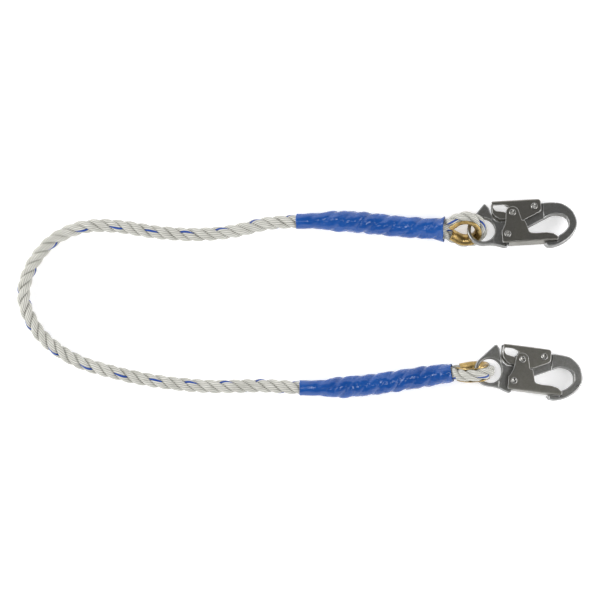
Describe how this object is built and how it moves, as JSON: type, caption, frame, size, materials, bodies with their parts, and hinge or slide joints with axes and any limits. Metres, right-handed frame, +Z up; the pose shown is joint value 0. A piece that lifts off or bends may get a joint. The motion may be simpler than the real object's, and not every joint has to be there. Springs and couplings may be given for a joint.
{
  "type": "rope lanyard with snap hooks",
  "caption": "Three-strand rope lanyard with sleeved thimble eyes and a double-locking steel snap hook at each end.",
  "frame": {"origin": "on the surface that the lanyard lies on, under the middle of everything but the free stretch of rope", "axes": "+X from the rope's bight towards the hooks' noses, +Y towards hook A, +Z up off the surface"},
  "size_m": [0.6774, 0.242, 0.0497],
  "materials": {
    "rope": "matte",
    "sleeve": "gloss",
    "thimble": "satin",
    "forged_steel": "satin",
    "pressed_steel": "satin",
    "rivet_steel": "satin",
    "spring_steel": "satin"
  },
  "bodies": {
    "rope_assembly": {"rope": "rope", "eye_splice_a": "rope", "eye_splice_b": "rope", "sleeve_a": "sleeve", "sleeve_b": "sleeve", "thimble_a": "thimble", "thimble_b": "thimble"},
    "hook_a": {"hook_a_body": "forged_steel", "hook_a_gate_pivot_rivet": "rivet_steel", "hook_a_trigger_pivot_rivet": "rivet_steel"},
    "gate_a": {"hook_a_gate": "pressed_steel", "hook_a_lock_pin": "rivet_steel", "hook_a_gate_spring": "spring_steel"},
    "trigger_a": {"hook_a_trigger": "pressed_steel", "hook_a_trigger_spring": "spring_steel"},
    "hook_b": {"hook_b_body": "forged_steel", "hook_b_gate_pivot_rivet": "rivet_steel", "hook_b_trigger_pivot_rivet": "rivet_steel"},
    "gate_b": {"hook_b_gate": "pressed_steel", "hook_b_lock_pin": "rivet_steel", "hook_b_gate_spring": "spring_steel"},
    "trigger_b": {"hook_b_trigger": "pressed_steel", "hook_b_trigger_spring": "spring_steel"}
  },
  "joints": [
    {"name": "hook_a_swing", "type": "hinge", "parent": "rope_assembly", "child": "hook_a", "pos_m": [0.03077, 0.0847, 0.01864], "axis": [-0.0702, -0.6306, 0.7729], "range_deg": [-70, 70]},
    {"name": "hook_a_gate_open", "type": "hinge", "parent": "hook_a", "child": "gate_a", "pos_m": [0.07933, 0.07639, 0.02096], "axis": [0.0227, 0.3109, 0.9502], "range_deg": [0, 27], "stiffness_Nm_per_rad": 1.2, "springref_deg": -22.92},
    {"name": "hook_a_trigger_press", "type": "hinge", "parent": "hook_a", "child": "trigger_a", "pos_m": [0.1118, 0.11023, 0.00911], "axis": [0.0227, 0.3109, 0.9502], "range_deg": [0, 10], "stiffness_Nm_per_rad": 1.6, "springref_deg": -14.32},
    {"name": "hook_b_swing", "type": "hinge", "parent": "rope_assembly", "child": "hook_b", "pos_m": [0.03998, -0.08542, 0.02502], "axis": [0.096, -0.9716, -0.2162], "range_deg": [-70, 70]},
    {"name": "hook_b_gate_open", "type": "hinge", "parent": "hook_b", "child": "gate_b", "pos_m": [0.08537, -0.09686, 0.02084], "axis": [0.1689, 0.1363, 0.9762], "range_deg": [0, 27], "stiffness_Nm_per_rad": 1.2, "springref_deg": -22.92},
    {"name": "hook_b_trigger_press", "type": "hinge", "parent": "hook_b", "child": "trigger_b", "pos_m": [0.12295, -0.06826, 0.01035], "axis": [0.1689, 0.1363, 0.9762], "range_deg": [0, 10], "stiffness_Nm_per_rad": 1.6, "springref_deg": -14.32}
  ],
  "couplings": [
    {"joint": "hook_a_trigger_press", "follows": "hook_a_gate_open", "ratio": 0.37},
    {"joint": "hook_b_trigger_press", "follows": "hook_b_gate_open", "ratio": 0.37}
  ]
}
